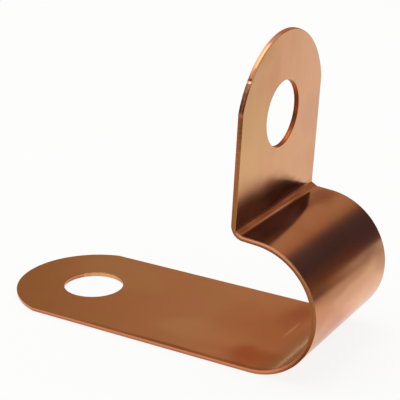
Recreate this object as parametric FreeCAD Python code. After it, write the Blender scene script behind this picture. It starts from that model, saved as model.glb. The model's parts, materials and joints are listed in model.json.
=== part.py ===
import FreeCAD, Part
import math
import os

# Cable clamp: one strip of thin copper, punched and bent.
# A long flat base lies on the surface, a round loop rises from its end and turns back over it,
# and past a sharp reverse fold the strip stands up as a short tab.
# The base and the tab each have a fixing hole and a rounded end.
# Millimetres. +X runs along the base towards the loop, +Y across the strip, +Z up.
# The origin is the centre of the base's hole, on the underside of the base.

# Strip
STRIP_WIDTH = 16.0
STRIP_THICKNESS = 0.46
EDGE_ROUND = 0.08            # soft edge that cropping and polishing leave along the outline
HOLE_DEBURR = 0.08           # small bevel at both rims of a punched hole
END_FULLNESS = 0.3           # the ends are rounded to this much more than half the width

# Base
BASE_HOLE_DIAMETER = 6.35
BASE_HOLE_TO_TIP = 8.2
BASE_HOLE_TO_LOOP = 23.25    # to the line where the loop leaves the surface

# Loop
LOOP_BORE_DIAMETER = 12.5    # the cable's seat, between the strip's inner faces
LOOP_TURN = 175.4            # degrees that the strip turns through
CROWN_RUN = 1.4              # short straight run on top, before the fold

# Tab
FOLD_INSIDE_RADIUS = 0.85
PRESSED_FLAT_TURN = 25.4     # degrees from the crown to the flat that the folding tool leaves
PRESSED_FLAT_CORNER = 0.15   # radius along both borders of that flat
TAB_LEAN = 2.8               # degrees past square to the base, towards the loop
TAB_HOLE_DIAMETER = 6.35
FOLD_TO_TAB_HOLE = 8.65
TAB_HOLE_TO_TIP = 8.0

# Values worked out from the sizes above
HALF_WIDTH = STRIP_WIDTH / 2
HALF_THICKNESS = STRIP_THICKNESS / 2
END_RADIUS = HALF_WIDTH + END_FULLNESS
BASE_LENGTH = BASE_HOLE_TO_TIP + BASE_HOLE_TO_LOOP
TAB_LENGTH = FOLD_TO_TAB_HOLE + TAB_HOLE_TO_TIP
LOOP_MID_RADIUS = LOOP_BORE_DIAMETER / 2 + HALF_THICKNESS
FOLD_MID_RADIUS = FOLD_INSIDE_RADIUS + HALF_THICKNESS
FOLD_TURN = LOOP_TURN - 90.0 + TAB_LEAN
FLAT_TO_TAB_TURN = FOLD_TURN - PRESSED_FLAT_TURN
OVERRUN = STRIP_THICKNESS    # how far a cutting tool stands past the face that it cuts
SAME = 0.001                 # lengths and directions this close to each other are the same

ACROSS = FreeCAD.Vector(0, 1, 0)


class Station:
    """A place on the strip's middle line, seen from the side, and the way the line runs there."""

    def __init__(self, x, z, heading):
        self.x = x
        self.z = z
        self.heading = heading

    def along(self):
        """Unit vector along the strip, away from the base's tip."""
        return FreeCAD.Vector(math.cos(self.heading), 0, math.sin(self.heading))

    def normal(self):
        """Unit vector out of the face that is the base's top and the loop's inside."""
        return FreeCAD.Vector(-math.sin(self.heading), 0, math.cos(self.heading))

    def point(self, offset=0.0):
        """The point that lies offset along the normal from the middle line."""
        return FreeCAD.Vector(self.x, 0, self.z) + self.normal() * offset

    def after_run(self, length):
        """The station at the end of a straight run."""
        end = self.point() + self.along() * length
        return Station(end.x, end.z, self.heading)

    def after_bend(self, mid_radius, turn):
        """The station at the end of a bend of turn degrees, positive towards the normal."""
        to_centre = math.copysign(mid_radius, turn)
        centre = self.point(to_centre)
        heading = self.heading + math.radians(turn)
        end = centre - Station(0, 0, heading).normal() * to_centre
        return Station(end.x, end.z, heading)


def run_edge(start, length, offset):
    """One face of a straight run, seen from the side."""
    return Part.makeLine(start.point(offset), start.after_run(length).point(offset))


def bend_edge(start, mid_radius, turn, offset):
    """One face of a bend, seen from the side: an arc through its ends and its middle."""
    middle = start.after_bend(mid_radius, turn / 2)
    end = start.after_bend(mid_radius, turn)
    return Part.Arc(start.point(offset), middle.point(offset), end.point(offset)).toShape()


base_tip = Station(-BASE_HOLE_TO_TIP, HALF_THICKNESS, 0.0)
base_hole = base_tip.after_run(BASE_HOLE_TO_TIP)
loop_start = base_tip.after_run(BASE_LENGTH)
crown_start = loop_start.after_bend(LOOP_MID_RADIUS, LOOP_TURN)
fold_start = crown_start.after_run(CROWN_RUN)
tab_start = fold_start.after_bend(FOLD_MID_RADIUS, -FOLD_TURN)
tab_hole = tab_start.after_run(FOLD_TO_TAB_HOLE)
tab_tip = tab_start.after_run(TAB_LENGTH)


def corner_reach(radius, turn):
    """How far a bend of turn degrees starts before the corner of the straight sides it joins."""
    return radius * math.tan(math.radians(turn / 2))


def round_fold():
    """The outside of the fold, seen from the side: one arc."""
    return [bend_edge(fold_start, FOLD_MID_RADIUS, -FOLD_TURN, HALF_THICKNESS)]


def pressed_hollow():
    """The hollow of the fold, seen from the side, with the flat that the folding tool leaves in it.

    The flat and the faces on both sides of it all touch the round of FOLD_INSIDE_RADIUS that the
    hollow would have without it, and both borders of the flat are rounded off.
    """
    low_run = (corner_reach(FOLD_INSIDE_RADIUS, PRESSED_FLAT_TURN)
               - corner_reach(PRESSED_FLAT_CORNER, PRESSED_FLAT_TURN))
    high_run = (corner_reach(FOLD_INSIDE_RADIUS, FLAT_TO_TAB_TURN)
                - corner_reach(PRESSED_FLAT_CORNER, FLAT_TO_TAB_TURN))
    rim = fold_start.point(-HALF_THICKNESS)
    hollow_start = Station(rim.x, rim.z, fold_start.heading)
    low_border = hollow_start.after_run(low_run)
    flat = low_border.after_bend(PRESSED_FLAT_CORNER, -PRESSED_FLAT_TURN)
    high_border = flat.after_run(low_run + high_run)
    hollow_end = high_border.after_bend(PRESSED_FLAT_CORNER, -FLAT_TO_TAB_TURN)
    return [
        run_edge(hollow_start, low_run, 0),
        bend_edge(low_border, PRESSED_FLAT_CORNER, -PRESSED_FLAT_TURN, 0),
        run_edge(flat, low_run + high_run, 0),
        bend_edge(high_border, PRESSED_FLAT_CORNER, -FLAT_TO_TAB_TURN, 0),
        run_edge(hollow_end, high_run, 0),
    ]


def strip_face_edges(offset, fold):
    """The edges of one face of the strip, seen from the side, from tip to tip.

    fold holds the edges of that face in the fold.
    """
    return [
        run_edge(base_tip, BASE_LENGTH, offset),
        bend_edge(loop_start, LOOP_MID_RADIUS, LOOP_TURN, offset),
        run_edge(crown_start, CROWN_RUN, offset),
        *fold,
        run_edge(tab_start, TAB_LENGTH, offset),
    ]


def bent_strip():
    """The strip with square ends: its side view, carried across its width."""
    edges = strip_face_edges(HALF_THICKNESS, round_fold())
    edges += strip_face_edges(-HALF_THICKNESS, pressed_hollow())
    for tip in (base_tip, tab_tip):
        edges.append(Part.makeLine(tip.point(HALF_THICKNESS), tip.point(-HALF_THICKNESS)))
    side_view = Part.Face(Part.Wire(Part.__sortEdges__(edges)))
    side_view.translate(ACROSS * -HALF_WIDTH)
    return side_view.extrude(ACROSS * STRIP_WIDTH)


def punch(station, radius):
    """A round punch square to the strip at a station, long enough to pass both its faces."""
    foot = station.point(-HALF_THICKNESS - OVERRUN)
    return Part.makeCylinder(radius, STRIP_THICKNESS + 2 * OVERRUN, foot, station.normal())


def end_waste(tip, inward):
    """What is cropped off a square end: the block over it, less the disc that rounds it.

    The disc touches the tip. inward is 1 where the strip runs away from the tip, and -1
    where it runs up to it.
    """
    centre = tip.after_run(inward * END_RADIUS)
    near = tip.after_run(-inward * OVERRUN)
    foot = -HALF_THICKNESS - OVERRUN
    reach = ACROSS * (END_RADIUS + OVERRUN)
    corners = [
        near.point(foot) - reach,
        near.point(foot) + reach,
        centre.point(foot) + reach,
        centre.point(foot) - reach,
        near.point(foot) - reach,
    ]
    block = Part.Face(Part.makePolygon(corners))
    block = block.extrude(tip.normal() * (STRIP_THICKNESS + 2 * OVERRUN))
    return block.cut(punch(centre, END_RADIUS))


def hole_rims(strip):
    """The round edges of the holes: the only edges of the strip that close on themselves."""
    return [edge for edge in strip.Edges if edge.isClosed()]


def goes_through(line):
    """Whether a straight edge is one of the lines through the thickness at an end's corners."""
    parallel = any(
        line.Curve.Direction.cross(tip.normal()).Length < SAME for tip in (base_tip, tab_tip)
    )
    return parallel and abs(line.Length - STRIP_THICKNESS) < SAME


def outline_rims(strip):
    """The edges of the broad faces along the strip's outline.

    Left out are the holes' edges, the straight lines across the strip, where its broad faces
    meet, and the lines through its thickness.
    """
    rims = []
    for edge in strip.Edges:
        straight = isinstance(edge.Curve, Part.Line)
        across = straight and abs(edge.Curve.Direction.dot(ACROSS)) > 0.5
        through = straight and goes_through(edge)
        if not (edge.isClosed() or across or through):
            rims.append(edge)
    return rims


def clamp_strip():
    """The whole clamp: bent, its ends rounded, its holes punched and its edges softened."""
    strip = bent_strip().cut([
        end_waste(base_tip, 1),
        end_waste(tab_tip, -1),
        punch(base_hole, BASE_HOLE_DIAMETER / 2),
        punch(tab_hole, TAB_HOLE_DIAMETER / 2),
    ])
    strip = strip.makeChamfer(HOLE_DEBURR, hole_rims(strip))
    return strip.makeFillet(EDGE_ROUND, outline_rims(strip))


os.makedirs("parts", exist_ok=True)
clamp_strip().exportStep("parts/clamp_strip.step")
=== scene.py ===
"""Studio scene of a cable clamp: one strip of rolled copper, punched, rounded off and bent.

The strip is laid out flat first, as the sheet metal worker lays it out, and then bent along its middle line.
Everything is in metres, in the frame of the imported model: X along the base, Y across the strip, Z up.
"""
import json
import logging
from collections.abc import Callable, Mapping, Sequence
from dataclasses import dataclass, field
from enum import Enum
from functools import partial
from typing import ClassVar

import bmesh
import bpy
import numpy as np
from mathutils import Matrix, Vector


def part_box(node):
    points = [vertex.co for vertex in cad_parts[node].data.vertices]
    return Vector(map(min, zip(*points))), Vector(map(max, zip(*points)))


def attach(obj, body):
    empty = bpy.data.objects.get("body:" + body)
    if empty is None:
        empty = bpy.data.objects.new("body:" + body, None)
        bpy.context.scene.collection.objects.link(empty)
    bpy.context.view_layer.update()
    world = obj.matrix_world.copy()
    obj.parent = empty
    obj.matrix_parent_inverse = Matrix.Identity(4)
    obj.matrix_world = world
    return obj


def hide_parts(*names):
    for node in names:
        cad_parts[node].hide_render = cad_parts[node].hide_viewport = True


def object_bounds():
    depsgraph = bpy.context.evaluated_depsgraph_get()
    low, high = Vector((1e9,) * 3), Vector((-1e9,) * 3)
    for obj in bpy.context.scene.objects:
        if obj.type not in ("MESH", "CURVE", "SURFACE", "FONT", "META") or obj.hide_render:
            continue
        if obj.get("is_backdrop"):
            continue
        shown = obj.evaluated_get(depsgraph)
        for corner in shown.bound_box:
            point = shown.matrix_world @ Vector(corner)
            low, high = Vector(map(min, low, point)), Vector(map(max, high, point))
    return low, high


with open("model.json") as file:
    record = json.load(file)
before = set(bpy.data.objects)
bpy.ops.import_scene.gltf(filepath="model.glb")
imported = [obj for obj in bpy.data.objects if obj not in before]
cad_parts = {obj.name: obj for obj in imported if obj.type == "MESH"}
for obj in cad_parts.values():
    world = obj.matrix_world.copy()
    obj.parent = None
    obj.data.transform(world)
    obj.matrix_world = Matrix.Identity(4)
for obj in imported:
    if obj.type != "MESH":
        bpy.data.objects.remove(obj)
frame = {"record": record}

log = logging.getLogger("cable_clamp")

Array = np.ndarray
Colour = tuple[float, float, float, float]
Span = tuple[float, float]
Material = bpy.types.Material
Piece = bpy.types.Object
Socket = bpy.types.NodeSocket
NodeAdder = Callable[..., Socket]

MM = 0.001
WHITE = (1.0, 1.0, 1.0, 1.0)
SMOOTH = {"interpolation_type": "SMOOTHSTEP"}

# The numbers of a colour mix's inputs, and of its output
SHARE = 0
UNDER = 6
OVER = 7
MIXED = 2

# How far from the middle of the sheet its faces are taken to lie, to tell one from the other
FACE_LEVEL_MM = 0.23

# How far apart two corners of neighbouring patches may lie and still be the same corner of the sheet
WELD = 2e-7

# How closely the handling marks' cells follow each other through the sheet, where no one sees them
THROUGH_SCALE = 0.3

# How much a noise moves a patch's outline, and the sums of reach and noise at which it is gone and full
PATCH_UNEVENNESS = 1.6
PATCH_GONE = 1.8
PATCH_FULL = 1.0


class Side(Enum):
    """The two faces of the sheet, by their offset from its middle in halves of the thickness."""

    INNER = 1.0
    OUTER = -1.0


class Finish(Enum):
    """The finishes of the strip, by their place among its material slots."""

    ROLLED = 0
    CUT = 1
    TORN = 2


def linear(code: str) -> Colour:
    """Turns an sRGB colour code into linear light.

    The curve is a straight line below 0.04045 and a power of 2.4 above it.

    Args:
        code: The colour as #RRGGBB.

    Returns:
        Red, green and blue in linear light, and 1 for opaque.
    """
    parts = np.array([int(code[i : i + 2], 16) for i in (1, 3, 5)]) / 255
    light = np.where(parts <= 0.04045, parts / 12.92, ((parts + 0.055) / 1.055) ** 2.4)
    return (float(light[0]), float(light[1]), float(light[2]), 1.0)


def add_node(
    tree: bpy.types.NodeTree,
    kind: str,
    inputs: Mapping[str | int, object] | None = None,
    out: str | int = 0,
    **settings: object,
) -> Socket | None:
    """Adds a node to a tree, with its settings, its fixed inputs and its links.

    Args:
        tree: The node tree.
        kind: The node's type name, less the ShaderNode that they all start with.
        inputs: A value or a source socket for each named or numbered input.
        out: The name or number of the wanted output.
        **settings: Properties of the node itself.

    Returns:
        The wanted output, which knows its node too. An output node has none.
    """
    node = tree.nodes.new("ShaderNode" + kind)
    for name, value in settings.items():
        setattr(node, name, value)
    for name, value in (inputs or {}).items():
        if isinstance(value, Socket):
            tree.links.new(value, node.inputs[name])
        else:
            node.inputs[name].default_value = value
    return node.outputs[out] if node.outputs else None


def new_material(name: str) -> tuple[Material, NodeAdder]:
    """Makes a material with an empty node tree.

    Args:
        name: The material's name.

    Returns:
        The material, and the function that adds a node to its tree.
    """
    material = bpy.data.materials.new(name)
    material.use_nodes = True
    material.node_tree.nodes.clear()
    return material, partial(add_node, material.node_tree)


def place(name: str, data: bpy.types.ID) -> Piece:
    """Makes an object of a mesh, a lamp or a lens and puts it in the scene.

    Args:
        name: The object's name.
        data: What it is made of.

    Returns:
        The object.
    """
    made = bpy.data.objects.new(name, data)
    bpy.context.scene.collection.objects.link(made)
    return made


def unwrap(mesh: bpy.types.Mesh, layer: str, uv: Array) -> None:
    """Adds a UV map that gives each corner of a face the place of its vertex.

    Args:
        mesh: The mesh.
        layer: The map's name.
        uv: u and v of each vertex.
    """
    corner = np.zeros(len(mesh.loops), np.int32)
    mesh.loops.foreach_get("vertex_index", corner)
    mesh.uv_layers.new(name=layer).uv.foreach_set("vector", uv[corner].astype(np.float32).ravel())


# Some of these patches are stains of the metal; others are painted shade, painted highlights and painted
# reflections.
@dataclass(frozen=True)
class StainAndLightPatch:
    """A soft oval patch of another tone, in millimetres of the flat strip, on one face or on both."""

    along: float
    across: float
    half_length: float
    half_width: float
    tone: str
    strength: float
    face: Side | None = None

    def centre(self) -> tuple[float, float, float]:
        """Places the middle of the patch, in the direction through the sheet too."""
        return (self.along, self.across, self.face.value * FACE_LEVEL_MM if self.face else 0.0)

    def shares(self) -> tuple[float, float, float]:
        """Gives the factors that turn distances from the middle into shares of the patch's reach."""
        return (1 / self.half_length, 1 / self.half_width, 1 / FACE_LEVEL_MM if self.face else 0.0)


def with_stains_and_light(add: NodeAdder, tone: Socket, blank: Socket, cloud: Socket, stains_and_light: Sequence[StainAndLightPatch]) -> Socket:
    """Lays patches of stain and of painted shade, highlight and reflection over a tone, each over the ones
    before it.

    The distance from a patch's middle, as a share of its reach, and the noise times its unevenness add up to
    a sum. The patch is full where that sum is PATCH_FULL and gone where it is PATCH_GONE.

    Args:
        add: Adds a node to the material's tree.
        tone: The tone without them.
        blank: The place on the flat strip, in millimetres.
        cloud: Noise from 0 to 1 that makes their outlines uneven.
        stains_and_light: The patches of stain and of painted light and shade.

    Returns:
        The tone with them.
    """
    for mark in stains_and_light:
        offset = add("VectorMath", {0: blank, 1: mark.centre()}, operation="SUBTRACT")
        shares = add("VectorMath", {0: offset, 1: mark.shares()}, operation="MULTIPLY")
        reach = add("VectorMath", {0: shares}, "Value", operation="LENGTH")
        reach = add("Math", {0: cloud, 1: PATCH_UNEVENNESS, 2: reach}, operation="MULTIPLY_ADD")
        cover = add(
            "MapRange",
            {"Value": reach, "From Min": PATCH_GONE, "From Max": PATCH_FULL, "To Max": mark.strength},
            **SMOOTH,
        )
        tone = add("Mix", {SHARE: cover, UNDER: tone, OVER: linear(mark.tone)}, MIXED, data_type="RGBA")
    return tone


@dataclass(frozen=True)
class RolledCopper:
    """Bright rolled copper sheet, a little tarnished by handling, with patches of painted shade, painted
    highlight and painted reflection.

    It gives the eye a deep orange-brown metal with soft, slightly smeared reflections: the rollers leave fine
    lines along the strip, so reflections spread more across it than along it.
    """

    bright: str = "#D59C72"
    golden: str = "#D19E6D"
    ruddy: str = "#CC8E66"
    lined: str = "#A8683F"
    edge_tint: Colour = (1.0, 0.97, 0.92, 1.0)
    # The least and the most that the roller lines make of the roughness
    roughness: Span = (0.19, 0.21)
    anisotropy: float = 0.4
    # A quarter turn from the strip's length: the reflections spread across the roller lines
    anisotropy_turn: float = 0.25
    # Roller lines are a few hundredths of a millimetre apart. They are drawn as coarse as they need to show.
    grain_pitch_mm: float = 0.22
    grain_length_mm: float = 9.0
    grain_height_mm: float = 0.0002
    # The levels of noise between which they darken the tone, and by how much
    grain_levels: Span = (0.3, 0.75)
    grain_strength: float = 0.05
    # The levels of noise between which they roughen the metal
    rough_levels: Span = (0.3, 0.7)
    # The clouds of tarnish, and the levels of noise between which they turn the copper bright and then ruddy
    tarnish_mm: float = 7.0
    bright_levels: Span = (0.38, 0.62)
    ruddy_levels: Span = (0.5, 0.72)
    ruddy_strength: float = 0.8
    ruddy_scale: float = 0.8
    # Where the second noise is read, in millimetres from the first
    second_noise: tuple[float, float, float] = (31.0, 17.0, 5.0)
    wave_mm: float = 5.5
    wave_height_mm: float = 0.018
    # The handling marks' spacing, and how drawn out, turned and wide they are
    scratch_pitch_mm: float = 1.6
    scratch_stretch: float = 0.16
    scratch_turn: float = 0.12
    scratch_width: float = 0.02
    # How many patches of them there are in a millimetre, and between which levels of noise they come in
    patches_per_mm: float = 0.35
    patch_levels: Span = (0.56, 0.68)
    scratch_roughness: float = 0.05
    stains_and_light: tuple[StainAndLightPatch, ...] = (
        # A golden bloom on the base, and a paler one
        StainAndLightPatch(-1.0, 4.5, 11.0, 6.0, "#DDAF80", 0.7),
        StainAndLightPatch(14.0, -3.5, 6.5, 3.4, "#E2B48C", 0.5),
        # The reddened foot of the loop, with finger marks
        StainAndLightPatch(22.5, 0.0, 9.0, 12.0, "#C8804E", 0.6),
        StainAndLightPatch(21.6, -5.4, 4.4, 3.2, "#B65C30", 0.75),
        StainAndLightPatch(22.4, 5.0, 2.6, 4.4, "#AC5C32", 0.7),
        StainAndLightPatch(22.6, 3.0, 1.7, 3.0, "#C67A52", 0.4),
        # Painted shade: a dark line along the corner of the base's front border
        StainAndLightPatch(15.0, -7.8, 14.0, 0.42, "#9A5222", 0.75, Side.INNER),
        # Pale bars where the bending tool has bitten
        StainAndLightPatch(23.15, 1.5, 0.24, 3.2, "#F2D2B8", 0.34),
        StainAndLightPatch(26.3, -5.4, 0.45, 2.6, "#F2C8A0", 0.38),
        # Painted shade in the hollow of the fold, darker towards its front end
        StainAndLightPatch(45.35, 1.0, 1.3, 12.0, "#A5643F", 0.8, Side.OUTER),
        StainAndLightPatch(45.2, -7.0, 0.9, 3.4, "#8A4E30", 0.5, Side.OUTER),
        # Painted shade over the crown's far half, beside the hollow
        StainAndLightPatch(43.3, 6.0, 2.0, 3.4, "#964E2A", 0.75, Side.OUTER),
        StainAndLightPatch(43.3, 2.6, 1.0, 3.4, "#9A5634", 0.6, Side.OUTER),
        # A paler stretch of the hollow, and a painted highlight along its lower border, where the burr
        # catches the light
        StainAndLightPatch(45.9, 3.5, 0.7, 3.4, "#F0B090", 0.7, Side.OUTER),
        StainAndLightPatch(44.93, -2.0, 0.10, 8.0, "#F4B890", 0.95, Side.OUTER),
        # The crown's near half, rubbed paler beside the fold
        StainAndLightPatch(43.8, -3.6, 1.5, 7.0, "#FFCCAE", 0.95, Side.OUTER),
        # A painted dark reflection over the tab's foot
        StainAndLightPatch(47.8, -5.6, 2.4, 4.5, "#A8603A", 0.7, Side.OUTER),
        StainAndLightPatch(47.8, -1.2, 2.0, 3.6, "#A05A34", 0.75, Side.OUTER),
        StainAndLightPatch(47.75, 0.9, 0.8, 2.4, "#8E5236", 0.6, Side.OUTER),
        StainAndLightPatch(47.2, 2.5, 0.8, 2.4, "#84492E", 0.7, Side.OUTER),
        StainAndLightPatch(46.6, 4.1, 0.6, 2.0, "#84492E", 0.7, Side.OUTER),
        # Painted reflection on the loop's underside: brighter and pinker, and darker towards the front
        StainAndLightPatch(30.0, 1.0, 5.6, 14.0, "#EC9C72", 0.75, Side.OUTER),
        StainAndLightPatch(30.6, -4.5, 2.2, 7.0, "#C05E28", 0.8, Side.OUTER),
        # Painted reflection bands over the loop's outside: a browner belt, darker at both ends, and a bright
        # orange one above it
        StainAndLightPatch(34.2, 0.0, 2.0, 14.0, "#C4885C", 0.6, Side.OUTER),
        StainAndLightPatch(34.95, 0.0, 0.95, 14.0, "#A86A44", 0.75, Side.OUTER),
        StainAndLightPatch(35.7, 5.0, 1.25, 4.6, "#8A4E2A", 0.7, Side.OUTER),
        StainAndLightPatch(35.4, -6.9, 0.9, 3.4, "#9A6040", 0.65, Side.OUTER),
        StainAndLightPatch(36.8, 0.0, 1.4, 14.0, "#F09A60", 0.75, Side.OUTER),
        StainAndLightPatch(37.0, -7.6, 1.4, 1.8, "#FFA260", 0.8, Side.OUTER),
        StainAndLightPatch(34.4, 7.4, 1.8, 3.4, "#A46A46", 0.65, Side.OUTER),
        StainAndLightPatch(33.6, -7.0, 2.2, 3.0, "#C26E40", 0.5, Side.OUTER),
        # The tab's golden and pinkish sides, and browner patches beside its hole and near its tip
        StainAndLightPatch(55.0, -6.5, 11.0, 6.0, "#D3A26C", 0.6, Side.OUTER),
        StainAndLightPatch(56.0, 6.0, 10.0, 5.0, "#DBA17E", 0.6, Side.OUTER),
        StainAndLightPatch(53.2, 6.6, 3.4, 3.6, "#C89070", 0.45, Side.OUTER),
        StainAndLightPatch(61.6, -4.8, 2.2, 4.2, "#C08850", 0.5, Side.OUTER),
    )

    def material(self) -> Material:
        """Builds the material.

        Returns:
            The material of both faces of the strip.
        """
        material, add = new_material("rolled_copper_sheet")
        blank = add("Attribute", out="Vector", attribute_name="blank")

        # Tarnish: broad soft clouds that turn the copper golden in some places and ruddy in others.
        per_mm = 1 / self.tarnish_mm
        cloud = add("TexNoise", {"Vector": blank, "Scale": per_mm, "Detail": 3.0, "Roughness": 0.45})
        shifted = add("VectorMath", {0: blank, 1: self.second_noise}, operation="ADD")
        blush = add("TexNoise", {"Vector": shifted, "Scale": self.ruddy_scale * per_mm, "Detail": 2.0})
        tone = linear(self.golden)
        for noise, (low, high), most, tint in (
            (cloud, self.bright_levels, 1.0, self.bright),
            (blush, self.ruddy_levels, self.ruddy_strength, self.ruddy),
        ):
            cover = add(
                "MapRange", {"Value": noise, "From Min": low, "From Max": high, "To Max": most}, **SMOOTH
            )
            tone = add("Mix", {SHARE: cover, UNDER: tone, OVER: linear(tint)}, MIXED, data_type="RGBA")
        tone = with_stains_and_light(add, tone, blank, cloud, self.stains_and_light)

        # Roller lines: noise drawn out along the strip, fine across it.
        fine = 1 / self.grain_pitch_mm
        drawn_out = add("Mapping", {"Vector": blank, "Scale": (1 / self.grain_length_mm, fine, fine)})
        grain = add("TexNoise", {"Vector": drawn_out, "Scale": 1.0, "Detail": 2.0})
        low, high = self.grain_levels
        most = self.grain_strength
        cover = add("MapRange", {"Value": grain, "From Min": low, "From Max": high, "To Max": most})
        tone = add("Mix", {SHARE: cover, UNDER: tone, OVER: linear(self.lined)}, MIXED, data_type="RGBA")
        low, high = self.rough_levels
        least, most = self.roughness
        rough = add(
            "MapRange", {"Value": grain, "From Min": low, "From Max": high, "To Min": least, "To Max": most}
        )

        # Handling marks: the borders of long thin cells, most of them faded out by a second noise.
        pitch = 1 / self.scratch_pitch_mm
        turn = (0.0, 0.0, self.scratch_turn)
        scale = (self.scratch_stretch * pitch, pitch, THROUGH_SCALE)
        drawn_out = add("Mapping", {"Vector": blank, "Rotation": turn, "Scale": scale})
        cells = add("TexVoronoi", {"Vector": drawn_out, "Scale": 1.0}, feature="DISTANCE_TO_EDGE")
        line = add("MapRange", {"Value": cells, "From Max": self.scratch_width, "To Min": 1.0, "To Max": 0.0})
        patch = add("TexNoise", {"Vector": shifted, "Scale": self.patches_per_mm, "Detail": 1.0})
        low, high = self.patch_levels
        kept = add("MapRange", {"Value": patch, "From Min": low, "From Max": high})
        scratch = add("Math", {0: line, 1: kept}, operation="MULTIPLY")
        rough = add("Math", {0: scratch, 1: self.scratch_roughness, 2: rough}, operation="MULTIPLY_ADD")

        # Long shallow waves from the rolling and bending, and a trace of the roller lines.
        wave = add("TexNoise", {"Vector": blank, "Scale": 1 / self.wave_mm, "Detail": 1.0})
        bent = add("Bump", {"Height": wave, "Distance": self.wave_height_mm * MM})
        bent = add("Bump", {"Height": grain, "Distance": self.grain_height_mm * MM, "Normal": bent})
        along = add("Tangent", direction_type="UV_MAP", uv_map="developed")
        shader = add(
            "BsdfPrincipled",
            {
                "Base Color": tone,
                "Metallic": 1.0,
                "Roughness": rough,
                "Specular Tint": self.edge_tint,
                "Anisotropic": self.anisotropy,
                "Anisotropic Rotation": self.anisotropy_turn,
                "Tangent": along,
                "Normal": bent,
            },
            distribution="MULTI_GGX",
        )
        add("OutputMaterial", {"Surface": shader})
        return material


@dataclass(frozen=True)
class Nick:
    """A small dent in a cut edge, in millimetres of the flat strip."""

    along: float
    across: float
    radius: float
    depth: float


@dataclass(frozen=True)
class ShearedCopper:
    """The cut edge of copper sheet, as the shear and the punch leave it.

    It gives the eye a thin bright line beside a dark one. From the outer face to the inner one the blade
    wipes a shiny band and then tears the rest; painted shade darkens the corner at the inner face. Fine lines
    run through the thickness.
    """

    name: str = "sheared_copper_edge"
    wiped: str = "#DE9870"
    dull: str = "#B66C48"
    torn: str = "#CE8A64"
    # The tone of the painted shade in the corner at the inner face
    corner_shade_tone: str = "#6A3418"
    edge_tint: Colour = (1.0, 0.92, 0.84, 1.0)
    wiped_roughness: float = 0.19
    torn_roughness: float = 0.34
    # The blade's lines are about a tenth of this apart. They are drawn as coarse as they need to show.
    line_pitch_mm: float = 0.20
    line_height_mm: float = 0.004
    # How much less the lines change through the thickness than along the edge
    line_stretch: float = 0.12
    # Between which levels the wiped band ends, in halves of the thickness, and how uneven the lines make it
    band_border: Span = (0.2, 0.5)
    band_unevenness: float = 0.5
    # At which level the painted shade in the inner corner starts, and how dense it is at the inner face
    corner_shade_start: float = 0.55
    corner_shade: float = 0.85
    # How far along the strip the painted corner shade and the dulled band reach: past them the edge is
    # handled bright
    corner_shade_to_mm: float = 24.0
    dull_to_mm: float = 32.0
    # Half the length over which both fade
    fade_mm: float = 1.5
    stains_and_light: tuple[StainAndLightPatch, ...] = (
        # A painted highlight on the loop's shoulder, beside a line of painted shade in the inner corner
        StainAndLightPatch(40.5, -8.0, 6.0, 3.0, "#8A3C28", 0.7, Side.INNER),
        StainAndLightPatch(41.2, -8.0, 2.8, 3.0, "#F4AC88", 0.5, Side.OUTER),
        # A painted dark reflection below the nick in the tab's edge
        StainAndLightPatch(56.3, -7.9, 4.2, 3.0, "#8A5030", 0.7),
        # A painted highlight on the far wall of the base's hole
        StainAndLightPatch(-0.8, 3.2, 3.6, 2.2, "#ECB47C", 0.6),
    )
    nick: Nick = Nick(59.4, -6.7, 0.3, 0.09)

    def material(self) -> Material:
        """Builds the material.

        Returns:
            The material of the outline's and the holes' edges.
        """
        material, add = new_material(self.name)
        blank = add("Attribute", out="Vector", attribute_name="blank")
        through = add("Attribute", out="Fac", attribute_name="through")
        flat = add("VectorMath", {0: blank, 1: (1.0, 1.0, self.line_stretch)}, operation="MULTIPLY")
        lines = add("TexNoise", {"Vector": flat, "Scale": 1 / self.line_pitch_mm, "Detail": 2.0})

        # The border between the wiped and the torn band runs unevenly: the lines push it about.
        border = add("Math", {0: lines, 1: self.band_unevenness, 2: through}, operation="MULTIPLY_ADD")
        low, high = self.band_border
        upper = add("MapRange", {"Value": border, "From Min": low, "From Max": high}, **SMOOTH)
        along = add("SeparateXYZ", {"Vector": blank})
        shaded_along, dulled = (
            add("MapRange", {"Value": along, "From Min": end + self.fade_mm, "From Max": end - self.fade_mm})
            for end in (self.corner_shade_to_mm, self.dull_to_mm)
        )

        # Painted shade lies along the inner corner of the edge.
        amount = add("Math", {0: shaded_along, 1: self.corner_shade}, operation="MULTIPLY")
        corner_shade = add(
            "MapRange",
            {"Value": through, "From Min": self.corner_shade_start, "From Max": 1.0, "To Max": amount},
            **SMOOTH,
        )
        # The wiped tone, then the dulled band, the torn band and the painted corner shade over it
        tone = linear(self.wiped)
        for cover, tint in ((dulled, self.dull), (upper, self.torn), (corner_shade, self.corner_shade_tone)):
            tone = add("Mix", {SHARE: cover, UNDER: tone, OVER: linear(tint)}, MIXED, data_type="RGBA")
        tone = with_stains_and_light(add, tone, blank, lines, self.stains_and_light)
        rough = add(
            "MapRange", {"Value": upper, "To Min": self.wiped_roughness, "To Max": self.torn_roughness}
        )

        ridged = add("Bump", {"Height": lines, "Distance": self.line_height_mm * MM})
        nick = (self.nick.along, self.nick.across, 0.0)
        offset = add("VectorMath", {0: blank, 1: nick}, "Value", operation="DISTANCE")
        dent = add("MapRange", {"Value": offset, "From Max": self.nick.radius}, **SMOOTH)
        ridged = add("Bump", {"Height": dent, "Distance": self.nick.depth * MM, "Normal": ridged})
        shader = add(
            "BsdfPrincipled",
            {
                "Base Color": tone,
                "Metallic": 1.0,
                "Roughness": rough,
                "Specular Tint": self.edge_tint,
                "Normal": ridged,
            },
            distribution="MULTI_GGX",
        )
        add("OutputMaterial", {"Surface": shader})
        return material


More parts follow.
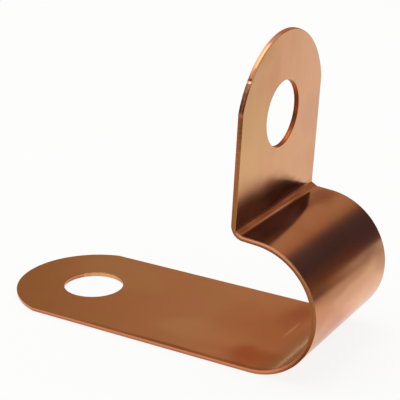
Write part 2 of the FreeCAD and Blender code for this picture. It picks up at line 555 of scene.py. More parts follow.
@dataclass(frozen=True)
class SeamlessPaper:
    """Matt white seamless paper, as a studio rolls it out.

    It gives the eye an even pale ground with no shine and only the object's own soft shadow. The camera and
    the copper see it part of the way to white, so that the ground reads as white and no lamp has to clip.
    """

    tone: str = "#F8F7F5"
    fibre_tone: str = "#F5F4F2"
    roughness: float = 0.9
    specular: float = 0.1
    lift: float = 0.85
    fibre_mm: float = 3.0

    def material(self) -> Material:
        """Builds the material.

        Returns:
            The material of the floor.
        """
        material, add = new_material("matt_seamless_paper")
        spot = add("TexCoord", out="Object")
        scale = 1 / (self.fibre_mm * MM)
        fibre = add("TexNoise", {"Vector": spot, "Scale": scale, "Detail": 3.0})
        tones = {SHARE: fibre, UNDER: linear(self.fibre_tone), OVER: linear(self.tone)}
        tone = add("Mix", tones, MIXED, data_type="RGBA")
        paper = add(
            "BsdfPrincipled",
            {"Base Color": tone, "Roughness": self.roughness, "Specular IOR Level": self.specular},
        )
        rays = add("LightPath").node.outputs
        seen = rays["Is Camera Ray"]
        for kind in ("Is Glossy Ray", "Is Transmission Ray"):
            seen = add("Math", {0: seen, 1: rays[kind]}, operation="MAXIMUM")
        lift = add("Math", {0: seen, 1: self.lift}, operation="MULTIPLY")
        white = add("Emission", {"Color": WHITE, "Strength": 1.0})
        both = add("MixShader", {0: lift, 1: paper, 2: white})
        add("OutputMaterial", {"Surface": both})
        return material


class Direction(Enum):
    """The direction in which a card's tones follow each other, by the output that measures it."""

    ALONG = "X"
    UP = "Y"


@dataclass(frozen=True)
class GlowingCardPaint:
    """Paint that glows evenly with its own light on a studio card, in place of a lit matt card, and whose
    borders fade out.

    It gives the eye the broad soft shapes that bright metal mirrors. u runs along the card and v up it, both
    from 0 to 1. The left, right, bottom and top border each fade over their own share of them. The tones
    stand at their own places from 0 to 1 and blend into each other.
    """

    tones: tuple[tuple[float, str], ...]
    fades: tuple[float, float, float, float]
    direction: Direction = Direction.ALONG

    def material(self, name: str) -> Material:
        """Builds the material.

        Args:
            name: The card's name, which the material takes.

        Returns:
            The material of the card.
        """
        material, add = new_material(f"{name}_paint")
        spot = add("UVMap", uv_map="card")
        split = add("SeparateXYZ", {"Vector": spot}).node.outputs
        tone = add("ValToRGB", {"Fac": split[self.direction.value]})
        stops = tone.node.color_ramp.elements
        while len(stops) < len(self.tones):
            stops.new(1.0)
        while len(stops) > len(self.tones):
            stops.remove(stops[-1])
        for stop, (position, code) in zip(stops, self.tones):
            stop.position, stop.color = position, linear(code)
        # The card glows with its own light: its tones are painted light, not paint under a lamp
        paint = add("Emission", {"Color": tone})
        clear = add("BsdfTransparent")
        for axis, border, fade in zip("XXYY", (0.0, 1.0, 0.0, 1.0), self.fades):
            if fade == 0.0:
                continue
            inside = abs(border - fade)
            cover = add(
                "MapRange", {"Value": split[axis], "From Min": border, "From Max": inside}, **SMOOTH
            )
            paint = add("MixShader", {0: cover, 1: clear, 2: paint})
        add("OutputMaterial", {"Surface": paint})
        material.cycles.emission_sampling = "NONE"
        return material


@dataclass(frozen=True)
class Run:
    """One stretch of the strip's middle line.

    A straight run turns by 0. A bend turns to the left, towards the inner face, where its turn is positive.
    """

    length: float
    turn: float
    rows: int = 1


def sums_before(values: Array) -> Array:
    """Adds up, for each value, the ones before it."""
    return np.concatenate([[0.0], np.cumsum(values)[:-1]])


@dataclass(frozen=True)
class FoldedLine:
    """A line of straight runs and bends in the XZ plane, each tangent to the one before it."""

    begin: float
    x: float
    z: float
    heading: float
    runs: tuple[Run, ...]

    def starts(self) -> tuple[Array, Array, Array, Array, Array]:
        """Works out where each run starts.

        Each run starts where the one before it ends. The chord of a run is its length times sin(h)/h, where h
        is half its turn, and points along the heading half-way through it.

        Returns:
            For each run its distance along the line, x, z, heading, and curvature.
        """
        length = np.array([run.length for run in self.runs])
        turn = np.array([run.turn for run in self.runs])
        heading = self.heading + sums_before(turn)
        chord = length * np.sinc(turn / 2 / np.pi)
        x = self.x + sums_before(chord * np.cos(heading + turn / 2))
        z = self.z + sums_before(chord * np.sin(heading + turn / 2))
        return self.begin + sums_before(length), x, z, heading, turn / length

    def places(self, along: Array, offset: Array) -> tuple[Array, Array]:
        """Bends flat positions to where they stand on the finished strip.

        A point moves along the chord of the part of its run that lies before it, and then sideways by its
        offset, square to the heading that the line has there.

        Args:
            along: Distances along the line.
            offset: Distances to the left of the line.

        Returns:
            x and z of each position.
        """
        start, x0, z0, heading0, curvature = self.starts()
        run = np.clip(np.searchsorted(start, along, side="right") - 1, 0, len(start) - 1)
        part = along - start[run]
        turned = curvature[run] * part
        chord = part * np.sinc(turned / 2 / np.pi)
        halfway = heading0[run] + turned / 2
        heading = heading0[run] + turned
        x = x0[run] + chord * np.cos(halfway) - offset * np.sin(heading)
        z = z0[run] + chord * np.sin(halfway) + offset * np.cos(heading)
        return x, z

    def stations(self, first: float, last: float) -> Array:
        """Divides a stretch of the line, closely in the bends.

        Args:
            first: Where the stretch starts, inside the first run.
            last: Where it ends, inside the last run.

        Returns:
            Rising distances along the line, with every border between two runs among them.
        """
        ends = self.begin + np.cumsum([0.0] + [run.length for run in self.runs])
        border = np.clip(ends, first, last)
        parts = [
            np.linspace(a, b, run.rows + 1)[1:] for a, b, run in zip(border[:-1], border[1:], self.runs)
        ]
        return np.concatenate([[first], *parts])


@dataclass
class Patches:
    """Patches of a surface, each a grid of points, gathered for one mesh."""

    points: list[Array] = field(default_factory=list)
    quads: list[Array] = field(default_factory=list)
    finishes: list[Array] = field(default_factory=list)
    count: int = 0

    def add(
        self, points: Array, finish: Finish = Finish.ROLLED, ring: bool = False, turned: bool = False
    ) -> None:
        """Adds one patch.

        The patch faces the side from which its rows, and then its columns, run counterclockwise.

        Args:
            points: Points in rows and columns, as an array of rows x columns x 3.
            finish: The finish of the patch.
            ring: Whether the last column joins the first.
            turned: Whether the patch faces the other side.
        """
        rows, columns = points.shape[:2]
        index = self.count + np.arange(rows * columns).reshape(rows, columns)
        if ring:
            index = np.concatenate([index, index[:, :1]], axis=1)
        corners = np.stack([index[:-1, :-1], index[1:, :-1], index[1:, 1:], index[:-1, 1:]], -1)
        corners = corners.reshape(-1, 4)
        self.points.append(points.reshape(-1, 3))
        self.quads.append(corners[:, ::-1] if turned else corners)
        self.finishes.append(np.full(len(corners), finish.value))
        self.count += rows * columns


@dataclass
class StripBlank:
    """The strip before it is bent: a flat bar of sheet with rounded ends and a hole near each.

    Positions on it are s along the strip from the base hole, y across it, and w through the sheet from its
    middle, positive towards the inner face.
    """

    half_width: float
    thickness: float
    hole_radius: float
    base_tip: float
    tab_hole: float
    tab_tip: float
    # How far past a hole the end's patches reach
    cut_reach: float
    end_radius: float = 8.3 * MM
    # How far the shear has drawn the outer face over, inwards and down the edge, and the corner it leaves
    rollover: float = 0.08 * MM
    rollover_depth: float = 0.27 * MM
    hole_rollover: float = 0.05 * MM
    corner: float = 0.03 * MM
    # The power of the drawn-over part's curve
    fullness: float = 1.4
    # How narrow a face's first cells are beside an edge, and how finely each part is divided
    margin: float = 0.03 * MM
    end_points: int = 120
    side_points: int = 20
    ring_rows: int = 14
    across_cells: int = 28
    rollover_steps: int = 12
    wall_steps: int = 3
    corner_steps: int = 3

    def border(self, face: Side) -> float:
        """Tells how far inside the outline a face starts."""
        return self.rollover if face is Side.OUTER else self.corner

    def edge_profile(self, rollover: float) -> tuple[Array, Array]:
        """Works out the section of a cut edge, from the outer face to the inner one.

        The shear draws the outer face over, cuts an upright wall, and leaves a sharp corner, here a small
        quarter of a circle, at the inner face. The drawn-over part is a quarter of a superellipse: with a and
        b as its reaches, (1 - inset / a)^n + (1 - height / b)^n = 1, where n = 1 would be a chamfer.

        Args:
            rollover: How far from the edge the drawn-over part starts.

        Returns:
            How far each point lies inside the outline, and its w.
        """
        half, depth, corner = self.thickness / 2, self.rollover_depth, self.corner
        drawn = np.linspace(np.pi / 2, 0, self.rollover_steps + 1)
        out, down = np.cos(drawn) ** (2 / self.fullness), np.sin(drawn) ** (2 / self.fullness)
        wall = np.linspace(depth - half, half - corner, self.wall_steps + 1)[1:-1]
        sharp = np.linspace(0, np.pi / 2, self.corner_steps + 1)
        inset = [rollover * (1 - out), np.zeros(len(wall)), corner * (1 - np.cos(sharp))]
        w = [depth * (1 - down) - half, wall, half - corner * (1 - np.sin(sharp))]
        return np.concatenate(inset), np.concatenate(w)

    def end_outline(self, inset: Array, tip: float) -> tuple[Array, Array]:
        """Follows an end of the strip, from the cut line round the tip and back to the cut line.

        The tip is an arc a little flatter than the full round, so it meets each side at a slight corner.
        Moved inwards by the inset, the arc keeps its centre and the sides stay parallel.

        Args:
            inset: How far inside the outline to stay; one value for each row of the result.
            tip: Distance from the hole to the tip.

        Returns:
            Distances outwards from the hole and across the strip, one row for each inset.
        """
        inset = inset[:, None]
        centre = tip - self.end_radius
        radius, half = self.end_radius - inset, self.half_width - inset
        widest = np.arcsin(half / radius)
        share = np.linspace(0, 1, self.side_points + 1)[None, :-1]
        corner = centre + radius * np.cos(widest)
        side_out = -self.cut_reach + share * (corner + self.cut_reach)
        angle = widest * np.linspace(1, -1, self.end_points + 1)[None, :]
        across = half * np.ones_like(share)
        outwards = np.concatenate([side_out, centre + radius * np.cos(angle), side_out[:, ::-1]], axis=1)
        sideways = np.concatenate([across, radius * np.sin(angle), -across], axis=1)
        return outwards, sideways

    def face_rim(self, face: Side, tip: float) -> Array:
        """Follows a face's outline on one end of the strip, round the tip and back along the cut line.

        Args:
            face: The face.
            tip: Distance from the hole to the tip.

        Returns:
            Points outwards from the hole and across the strip.
        """
        out, side = self.end_outline(np.array([self.border(face)]), tip)
        cut = self.across(face)[1:-1]
        outwards = np.concatenate([out[0], np.full(len(cut), -self.cut_reach)])
        return np.stack([outwards, np.concatenate([side[0], cut])], -1)

    def across(self, face: Side) -> Array:
        """Divides a face's width, with a narrow margin beside each edge."""
        edge = self.half_width - self.border(face)
        inner = np.linspace(-edge + self.margin, edge - self.margin, self.across_cells + 1)
        return np.concatenate([[-edge], inner, [edge]])

    def end_patches(
        self, patches: Patches, tip: float, hole: float, outwards: float, wall: Finish
    ) -> None:
        """Adds one end of the strip: both faces, its outer edge and its hole's edge.

        A face is ruled between its hole and its outline: straight lines join the points of one to the points
        of the other. The points of the hole lie in the directions of the inner face's outline.

        Args:
            patches: The mesh being gathered.
            tip: Distance from the hole to the tip.
            hole: s of the hole's centre.
            outwards: 1 where the tip lies in the direction of s, and -1 where it lies against it.
            wall: The finish of the hole's edge.
        """

        def on_strip(out: Array, side: Array, w: Array | float) -> Array:
            """Places points, given outwards from the hole and sideways, on the strip."""
            return np.stack([hole + outwards * out, -outwards * side, np.broadcast_to(w, out.shape)], -1)

        inset, w = self.edge_profile(self.rollover)
        patches.add(on_strip(*self.end_outline(inset, tip), w[:, None]), Finish.CUT, turned=True)

        rims = {face: self.face_rim(face, tip) for face in Side}
        towards = rims[Side.INNER] / np.linalg.norm(rims[Side.INNER], axis=1, keepdims=True)
        for face, rim in rims.items():
            start = self.hole_radius + (self.hole_rollover if face is Side.OUTER else self.corner)
            ruling = rim - start * towards
            margin = self.margin / np.hypot(ruling[:, 0], ruling[:, 1])
            rows = margin + np.linspace(0, 1, self.ring_rows + 1)[:, None] * (1 - 2 * margin)
            share = np.concatenate([np.zeros((1, len(rim))), rows, np.ones((1, len(rim)))])
            spot = start * towards + share[:, :, None] * ruling
            level = face.value * self.thickness / 2
            ruled = on_strip(spot[:, :, 0], spot[:, :, 1], level)
            patches.add(ruled, ring=True, turned=face is Side.OUTER)

        inset, w = self.edge_profile(self.hole_rollover)
        radius = (self.hole_radius + inset)[:, None]
        rim = on_strip(radius * towards[:, 0], radius * towards[:, 1], w[:, None])
        patches.add(rim, wall, ring=True)

    def middle_patches(self, patches: Patches, s: Array) -> None:
        """Adds the strip between its two ends: both faces and both long edges.

        Args:
            patches: The mesh being gathered.
            s: Rising distances along the strip, closest in the bends.
        """
        for face in Side:
            along, sideways = np.meshgrid(s, self.across(face), indexing="ij")
            level = np.full_like(along, face.value * self.thickness / 2)
            patches.add(np.stack([along, sideways, level], -1), turned=face is Side.OUTER)
        inset, w = self.edge_profile(self.rollover)
        along, through = np.meshgrid(s, w, indexing="ij")
        for across in (1.0, -1.0):
            sideways = across * (self.half_width - np.broadcast_to(inset, along.shape))
            patches.add(np.stack([along, sideways, through], -1), Finish.CUT, turned=across > 0)

    def gather(self, line: FoldedLine) -> Patches:
        """Lays out the whole flat strip.

        Args:
            line: The middle line, which says where the rows lie closely.

        Returns:
            All patches of the flat strip.
        """
        patches = Patches()
        first, last = self.cut_reach, self.tab_hole - self.cut_reach
        self.end_patches(patches, self.base_tip, 0.0, -1.0, Finish.CUT)
        self.middle_patches(patches, line.stations(first, last))
        self.end_patches(patches, self.tab_tip, self.tab_hole, 1.0, Finish.TORN)
        return patches


@dataclass
class ClampStrip:
    """The whole clamp: the base, the loop for the cable, the reverse fold and the tab, of one strip."""

    thickness: float
    half_width: float
    base_tip: float
    loop_start: float
    bore_radius: float
    hole_radius: float
    tab_hole_x: float
    tab_hole_z: float
    tab_heading: float
    top: float
    # The loop stops short of a half turn, the crown runs straight, and the fold turns back up to the tab.
    loop_turn: float = np.radians(175.4)
    crown_run: float = 1.4 * MM
    fold_radius: float = 1.08 * MM
    # The pressed flat's turn from the crown, the rounding of its two corners, and the burr at the lower one
    flat_turn: float = np.radians(25.4)
    flat_low_round: float = 0.30 * MM
    flat_high_round: float = 0.05 * MM
    burr_height: float = 0.012 * MM
    burr_width: float = 0.06 * MM
    # How many rows of points divide the straight runs, the loop and the fold
    base_rows: int = 16
    loop_rows: int = 132
    crown_rows: int = 8
    fold_rows: int = 96
    tab_rows: int = 8
    # The most that the end's patches reach past a hole, and how far they stay off the fold
    cut_reach: float = 7.0 * MM
    fold_clearance: float = 0.05 * MM

    @classmethod
    def from_frame(cls, record: Mapping[str, object], node: str) -> "ClampStrip":
        """Reads the clamp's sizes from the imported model.

        Args:
            record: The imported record.
            node: The name of the strip's node.

        Returns:
            The clamp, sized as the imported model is.
        """
        mounts = {mount["name"]: mount for mount in record["mounts"]}
        base, tab, seat = mounts["base_hole"], mounts["tab_hole"], mounts["cable_seat"]
        low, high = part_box(node)
        return cls(
            thickness=2 * base["pos_m"][2],
            half_width=high.y,
            base_tip=-low.x,
            loop_start=seat["pos_m"][0],
            bore_radius=seat["dims"]["r_mm"] * MM,
            hole_radius=base["dims"]["r_mm"] * MM,
            tab_hole_x=tab["pos_m"][0],
            tab_hole_z=tab["pos_m"][2],
            tab_heading=float(np.arctan2(-tab["axis"][0], tab["axis"][2])),
            top=high.z,
        )

    def line_to(self, tab_length: float) -> FoldedLine:
        """Follows the strip's middle from the base's tip, with a tab of a given length.

        Args:
            tab_length: The length of the last run.

        Returns:
            The middle line.
        """
        radius = self.bore_radius + self.thickness / 2
        fold_turn = self.tab_heading - self.loop_turn
        runs = (
            Run(self.base_tip + self.loop_start, 0.0, self.base_rows),
            Run(radius * self.loop_turn, self.loop_turn, self.loop_rows),
            Run(self.crown_run, 0.0, self.crown_rows),
            Run(self.fold_radius * abs(fold_turn), fold_turn, self.fold_rows),
            Run(tab_length, 0.0, self.tab_rows),
        )
        return FoldedLine(-self.base_tip, -self.base_tip, self.thickness / 2, 0.0, runs)

    def tab_start(self) -> tuple[float, float, float]:
        """Finds where the fold ends: the distance along the strip from the base hole, x and z."""
        # Any length of tab does: it starts at the same place.
        along, x, z, _, _ = self.line_to(MM).starts()
        return float(along[-1]), float(x[-1]), float(z[-1])

    def tab_length(self) -> float:
        """Works out the tab's length from the height of the whole clamp.

        The highest point is the end of the inner face, which lies half the sheet to the left of the middle.

        Returns:
            The length of the tab's middle line.
        """
        _, _, z = self.tab_start()
        lift = self.thickness / 2 * np.cos(self.tab_heading)
        return float((self.top - lift - z) / np.sin(self.tab_heading))

    def hollow(self, line: FoldedLine) -> FoldedLine:
        """Follows the hollow side of the fold, where the folding tool has pressed a flat.

        The flat and the two faces beside it all touch the circle that the hollow would follow without it. A
        tangent of that circle reaches its corner after radius times tan(half the corner's turn), and each
        corner is rounded in the same way to its own radius.

        Args:
            line: The middle line.

        Returns:
            The hollow's line, from the end of the crown to the start of the tab.
        """
        along, _, _, heading, _ = line.starts()
        x, z = line.places(along[3:4], np.array([-self.thickness / 2]))
        circle = self.fold_radius - self.thickness / 2
        turns = np.array([self.flat_turn, self.loop_turn - self.tab_heading - self.flat_turn])
        rounds = np.array([self.flat_low_round, self.flat_high_round])
        corner = circle * np.tan(turns / 2)
        taken = rounds * np.tan(turns / 2)
        runs = (
            Run(corner[0] - taken[0], 0.0),
            Run(rounds[0] * turns[0], -turns[0]),
            Run(corner.sum() - taken.sum(), 0.0),
            Run(rounds[1] * turns[1], -turns[1]),
            Run(corner[1] - taken[1], 0.0),
        )
        return FoldedLine(0.0, float(x[0]), float(z[0]), float(heading[3]), runs)

    def bend(self, line: FoldedLine, flat: Array) -> Array:
        """Bends flat points to where they stand on the finished clamp.

        Everywhere but in the fold a point keeps its offset from the middle line. In the fold the outer half
        of the sheet is squeezed between the middle line and the pressed hollow: a point lies as far along the
        hollow as along the fold, in shares of their lengths, and as far towards it as its w says. The tool
        has raised a fine burr along the flat's lower corner: h exp(-(d/b)^2) high at a distance d from it.

        Args:
            line: The middle line.
            flat: Points of the flat strip, as rows of s, y and w.

        Returns:
            Points of the bent strip.
        """
        x, z = line.places(flat[:, 0], flat[:, 2])
        fold, tab = line.starts()[0][3:5]
        squeezed = (flat[:, 0] > fold) & (flat[:, 0] < tab) & (flat[:, 2] < 0)
        s, w = flat[squeezed, 0], flat[squeezed, 2]
        hollow = self.hollow(line)
        far = (s - fold) / (tab - fold) * sum(run.length for run in hollow.runs)
        corner = hollow.runs[0].length + hollow.runs[1].length / 2
        burr = self.burr_height * np.exp(-(((far - corner) / self.burr_width) ** 2))
        hollow_x, hollow_z = hollow.places(far, -burr)
        middle_x, middle_z = line.places(s, np.zeros_like(s))
        depth = -w / (self.thickness / 2)
        x[squeezed] = middle_x + depth * (hollow_x - middle_x)
        z[squeezed] = middle_z + depth * (hollow_z - middle_z)
        return np.stack([x, flat[:, 1], z], -1)

    def blank(self) -> StripBlank:
        """Lays out the flat strip that bends into this clamp.

        Returns:
            The flat strip.
        """
        along, x, z = self.tab_start()
        to_hole = float(np.hypot(self.tab_hole_x - x, self.tab_hole_z - z))
        return StripBlank(
            half_width=self.half_width,
            thickness=self.thickness,
            hole_radius=self.hole_radius,
            base_tip=self.base_tip,
            tab_hole=along + to_hole,
            tab_tip=self.tab_length() - to_hole,
            cut_reach=min(to_hole - self.fold_clearance, self.cut_reach),
        )

    def build(self, finishes: Sequence[Material]) -> Piece:
        """Builds the strip and dresses it.

        Args:
            finishes: The materials, in the order of Finish.

        Returns:
            The finished piece.
        """
        line = self.line_to(self.tab_length())
        blank = self.blank()
        patches = blank.gather(line)
        flat = np.concatenate(patches.points)
        quads = np.concatenate(patches.quads)
        mesh = bpy.data.meshes.new("copper_strip")
        mesh.from_pydata(self.bend(line, flat), [], quads)
        mesh.polygons.foreach_set("material_index", np.concatenate(patches.finishes).astype(np.int32))
        mesh.polygons.foreach_set("use_smooth", np.ones(len(quads), bool))
        spot = mesh.attributes.new("blank", "FLOAT_VECTOR", "POINT")
        spot.data.foreach_set("vector", (flat / MM).astype(np.float32).ravel())
        depth = mesh.attributes.new("through", "FLOAT", "POINT")
        depth.data.foreach_set("value", (flat[:, 2] / (self.thickness / 2)).astype(np.float32))

        merged = bmesh.new()
        merged.from_mesh(mesh)
        bmesh.ops.remove_doubles(merged, verts=merged.verts, dist=WELD)
        log.info(
            "strip: %d faces, %d open edges, %.1f cubic mm",
            len(merged.faces),
            sum(1 for edge in merged.edges if len(edge.link_faces) != 2),
            merged.calc_volume(signed=True) / MM**3,
        )
        merged.to_mesh(mesh)
        merged.free()

        spots = np.zeros(len(mesh.vertices) * 3, np.float32)
        mesh.attributes["blank"].data.foreach_get("vector", spots)
        length = blank.base_tip + blank.tab_hole + blank.tab_tip
        developed = spots.reshape(-1, 3)[:, :2] * MM + [self.base_tip, self.half_width]
        unwrap(mesh, "developed", developed / length)
        for finish in finishes:
            mesh.materials.append(finish)
        return place("copper_strip", mesh)


@dataclass(frozen=True)
class Sheet:
    """A glowing sheet near the clamp, which shows only in its reflections."""

    name: str
    paint: GlowingCardPaint
    # How many points it has along and up
    grid: ClassVar[tuple[int, int]] = (2, 2)

    def points(self, u: Array, v: Array) -> tuple[Array, Array, Array]:
        """Places the sheet.

        Args:
            u: The share of the way along the sheet, for each point.
            v: The share of the way up or across it.

        Returns:
            x, y and z of each point.
        """
        raise NotImplementedError

    def build(self) -> Piece:
        """Builds the sheet over an even grid of u and v.

        Returns:
            The sheet, marked as stage.
        """
        u, v = np.meshgrid(*(np.linspace(0, 1, count) for count in self.grid), indexing="ij")
        patches = Patches()
        patches.add(np.stack(self.points(u, v), -1))
        mesh = bpy.data.meshes.new(self.name)
        mesh.from_pydata(patches.points[0], [], patches.quads[0])
        unwrap(mesh, "card", np.stack([u.ravel(), v.ravel()], -1))
        mesh.materials.append(self.paint.material(self.name))
        sheet = place(self.name, mesh)
        sheet.visible_camera = False
        sheet.visible_diffuse = False
        sheet.visible_transmission = False
        sheet.visible_shadow = False
        sheet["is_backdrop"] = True
        return sheet


@dataclass(frozen=True)
class Card(Sheet):
    """A curved card: a part of an upright cylinder round the clamp.

    Its bearings from the centre are in degrees from +Y towards +X, as seen from above.
    """

    bearings: Span
    heights: Span
    distance: float
    centre: Span = (0.0, 0.0)
    grid: ClassVar[tuple[int, int]] = (49, 9)

    def points(self, u: Array, v: Array) -> tuple[Array, Array, Array]:
        """Places the card: u turns the bearing and v lifts the height.

        Args:
            u: The share of the way along the card, for each point.
            v: The share of the way up it.

        Returns:
            x, y and z of each point.
        """
        first, last = self.bearings
        bottom, top = self.heights
        bearing = np.radians(first + u * (last - first))
        x = self.centre[0] + self.distance * np.sin(bearing)
        y = self.centre[1] + self.distance * np.cos(bearing)
        return x, y, bottom + v * (top - bottom)


@dataclass(frozen=True)
class Mat(Sheet):
    """A flat card on the floor beside the clamp."""

    x: Span
    y: Span
    height: float = 0.0

    def points(self, u: Array, v: Array) -> tuple[Array, Array, Array]:
        """Places the mat: u runs along x and v along y.

        Args:
            u: The share of the way along the mat, for each point.
            v: The share of the way across it.

        Returns:
            x, y and z of each point.
        """
        x = self.x[0] + u * (self.x[1] - self.x[0])
        y = self.y[0] + v * (self.y[1] - self.y[0])
        return x, y, np.full_like(u, self.height)


@dataclass(frozen=True)
class Softbox:
    """A square lamp behind a diffuser, aimed at the clamp."""

    name: str
    bearing: float
    elevation: float
    distance: float
    size: float
    brightness: float
    mirrored: bool = True

    def build(self, target: Vector) -> Piece:
        """Builds the lamp.

        The power of an even square lamp is its brightness times pi times its area.

        Args:
            target: The point that it is aimed at.

        Returns:
            The lamp.
        """
        light = bpy.data.lights.new(self.name, "AREA")
        light.shape = "SQUARE"
        light.size = self.size
        light.energy = self.brightness * np.pi * self.size**2
        lamp = place(self.name, light)
        lamp.visible_glossy = self.mirrored
        turn, lift = np.radians(self.bearing), np.radians(self.elevation)
        towards = Vector((np.sin(turn) * np.cos(lift), np.cos(turn) * np.cos(lift), np.sin(lift)))
        lamp.location = target + towards * self.distance
        lamp.rotation_euler = towards.to_track_quat("Z", "Y").to_euler()
        return lamp


@dataclass(frozen=True)
class Viewpoint:
    """The camera, placed where the photograph was taken from."""

    location: tuple[float, float, float] = (71.07 * MM, -98.52 * MM, 55.19 * MM)
    target: tuple[float, float, float] = (15.80 * MM, -4.46 * MM, 14.66 * MM)
    roll: float = np.radians(0.493)
    lens_mm: float = 110.60
    sensor_mm: float = 36.0
    clip: Span = (1 * MM, 10.0)

    def build(self) -> Piece:
        """Builds the camera and makes it the scene's.

        The camera looks along the line to its target, with its right side level but for the roll.

        Returns:
            The camera.
        """
        eye = np.array(self.location)
        ahead = np.array(self.target) - eye
        ahead /= np.linalg.norm(ahead)
        right = np.cross(ahead, (0.0, 0.0, 1.0))
        right /= np.linalg.norm(right)
        up = np.cross(right, ahead)
        c, s = np.cos(self.roll), np.sin(self.roll)
        turn = np.eye(4)
        turn[:3] = np.stack([c * right + s * up, c * up - s * right, -ahead, eye], -1)
        lens = bpy.data.cameras.new("viewpoint")
        lens.lens, lens.sensor_width = self.lens_mm, self.sensor_mm
        lens.clip_start, lens.clip_end = self.clip
        camera = place("viewpoint", lens)
        camera.matrix_world = Matrix(turn.tolist())
        bpy.context.scene.camera = camera
        return camera


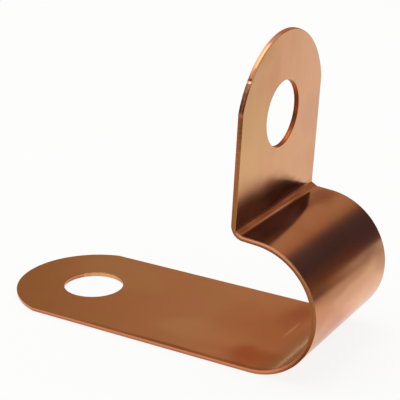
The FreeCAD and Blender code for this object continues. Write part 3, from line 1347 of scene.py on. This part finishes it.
@dataclass(frozen=True)
class Studio:
    """The ground, the lamps, the cards and the camera."""

    floor_radius: float = 1.2
    floor_gap: float = 0.01 * MM
    floor_hub: float = 1 * MM
    floor_rings: int = 25
    floor_spokes: int = 96
    sky: float = 0.70
    paper: SeamlessPaper = SeamlessPaper()
    lamps: tuple[Softbox, ...] = (
        Softbox("key_softbox", 40.0, 64.0, 0.50, 0.42, 0.3, mirrored=False),
        Softbox("edge_softbox", 268.0, 76.0, 0.45, 0.31, 1.9),
    )
    cards: tuple[Sheet, ...] = (
        Card(
            "warm_card",
            GlowingCardPaint(
                (
                    (0.0, "#826A5B"),
                    (0.36, "#9E8060"),
                    (0.50, "#C0A088"),
                    (0.75, "#BA9986"),
                    (0.86, "#AE8870"),
                ),
                (0.06, 0.0, 0.0, 0.2),
            ),
            bearings=(-80.0, 30.0),
            heights=(0.0, 0.42),
            distance=0.36,
        ),
        Card(
            "upper_warm_card",
            GlowingCardPaint(((0.0, "#D0B69C"),), (0.1, 0.2, 0.35, 0.2)),
            bearings=(-85.0, -20.0),
            heights=(0.20, 0.40),
            distance=0.35,
        ),
        Card(
            "dark_card",
            GlowingCardPaint(((0.0, "#4A4050"),), (0.12, 0.1, 0.03, 0.3)),
            bearings=(11.0, 90.0),
            heights=(0.0, 0.32),
            distance=0.30,
        ),
        Card(
            "low_side_card",
            GlowingCardPaint(
                ((0.0, "#A07454"), (0.27, "#704F42"), (0.45, "#68524A"), (0.62, "#5A4A4A")),
                (0.14, 0.14, 0.12, 0.3),
                Direction.UP,
            ),
            bearings=(25.0, 100.0),
            heights=(0.0, 0.030),
            distance=0.045,
            centre=(0.029, 0.0),
        ),
        Card(
            "low_front_card",
            GlowingCardPaint(
                (
                    (0.0, "#A98F70"),
                    (0.12, "#A08468"),
                    (0.17, "#FFF4F8"),
                    (0.37, "#FFF4F8"),
                    (0.50, "#4E362C"),
                ),
                (0.1, 0.1, 0.03, 0.3),
                Direction.UP,
            ),
            bearings=(178.0, 268.0),
            heights=(0.0, 0.065),
            distance=0.042,
            centre=(0.016, -0.008),
        ),
        Card(
            "camera_side_card",
            GlowingCardPaint(((0.0, "#7C6A62"),), (0.1, 0.05, 0.03, 0.12)),
            bearings=(105.0, 181.0),
            heights=(0.0, 0.215),
            distance=0.23,
            centre=(0.029, 0.0),
        ),
        Mat(
            "front_mat",
            GlowingCardPaint(((0.0, "#ABA080"),), (0.1, 0.1, 0.1, 0.035)),
            x=(-0.040, 0.115),
            y=(-0.110, -0.0105),
        ),
        # A dark mat before the loop's foot that only the copper mirrors: a painted contact shadow under the
        # loop's overhang
        Mat(
            "painted_contact_shadow_mat",
            GlowingCardPaint(((0.0, "#A68868"),), (0.25, 0.2, 0.3, 0.05)),
            x=(0.0245, 0.040),
            y=(-0.014, -0.0081),
            height=0.005 * MM,
        ),
    )

    def floor(self) -> Piece:
        """Builds the floor: a disc whose rings widen with the square of their number.

        Returns:
            The floor, marked as stage.
        """
        spokes = self.floor_spokes
        radius, angle = np.meshgrid(
            self.floor_hub + self.floor_radius * np.linspace(0, 1, self.floor_rings) ** 2,
            np.linspace(0, 2 * np.pi, spokes + 1)[:-1],
            indexing="ij",
        )
        level = np.full_like(radius, -self.floor_gap)
        patches = Patches()
        patches.add(np.stack([radius * np.cos(angle), radius * np.sin(angle), level], -1), ring=True)
        points = np.concatenate([patches.points[0], [[0.0, 0.0, -self.floor_gap]]])
        hub = [[patches.count, i, (i + 1) % spokes] for i in range(spokes)]
        mesh = bpy.data.meshes.new("floor")
        mesh.from_pydata(points, [], patches.quads[0].tolist() + hub)
        mesh.materials.append(self.paper.material())
        ground = place("floor", mesh)
        ground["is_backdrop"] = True
        return ground

    def world(self) -> bpy.types.World:
        """Builds the even pale surroundings that fill the shadows.

        Returns:
            The world.
        """
        world = bpy.data.worlds.new("even_tent")
        world.use_nodes = True
        world.node_tree.nodes.clear()
        tent = add_node(world.node_tree, "Background", {"Color": WHITE, "Strength": self.sky})
        add_node(world.node_tree, "OutputWorld", {"Surface": tent})
        bpy.context.scene.world = world
        return world

    def build(self, target: Vector) -> None:
        """Builds everything round the clamp.

        Args:
            target: The middle of the clamp.
        """
        self.floor()
        self.world()
        for lamp in self.lamps:
            lamp.build(target)
        for card in self.cards:
            card.build()
        Viewpoint().build()
        bpy.context.scene.view_settings.view_transform = "Standard"
        log.info("studio: floor, tent, %d softboxes, %d cards and camera", len(self.lamps), len(self.cards))


def plain(bounds: Sequence[Vector]) -> list[list[float]]:
    """Turns two corners into plain lists of numbers."""
    return [[float(value) for value in corner] for corner in bounds]


def main() -> None:
    logging.basicConfig(level=logging.INFO, format="%(message)s")
    cad_box = plain(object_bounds())
    clamp = ClampStrip.from_frame(frame["record"], "clamp_strip")
    worn_punch = ShearedCopper(
        name="torn_copper_wall",
        wiped="#A6562E",
        torn="#984C26",
        wiped_roughness=0.34,
        torn_roughness=0.48,
    )
    finishes = [RolledCopper().material(), ShearedCopper().material(), worn_punch.material()]
    strip = clamp.build(finishes)
    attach(strip, "root")
    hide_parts("clamp_strip")
    log.info("copper_strip: %d vertices", len(strip.data.vertices))
    low, high = (Vector(corner) for corner in cad_box)
    Studio().build((low + high) / 2)


if __name__ == "__main__":
    main()
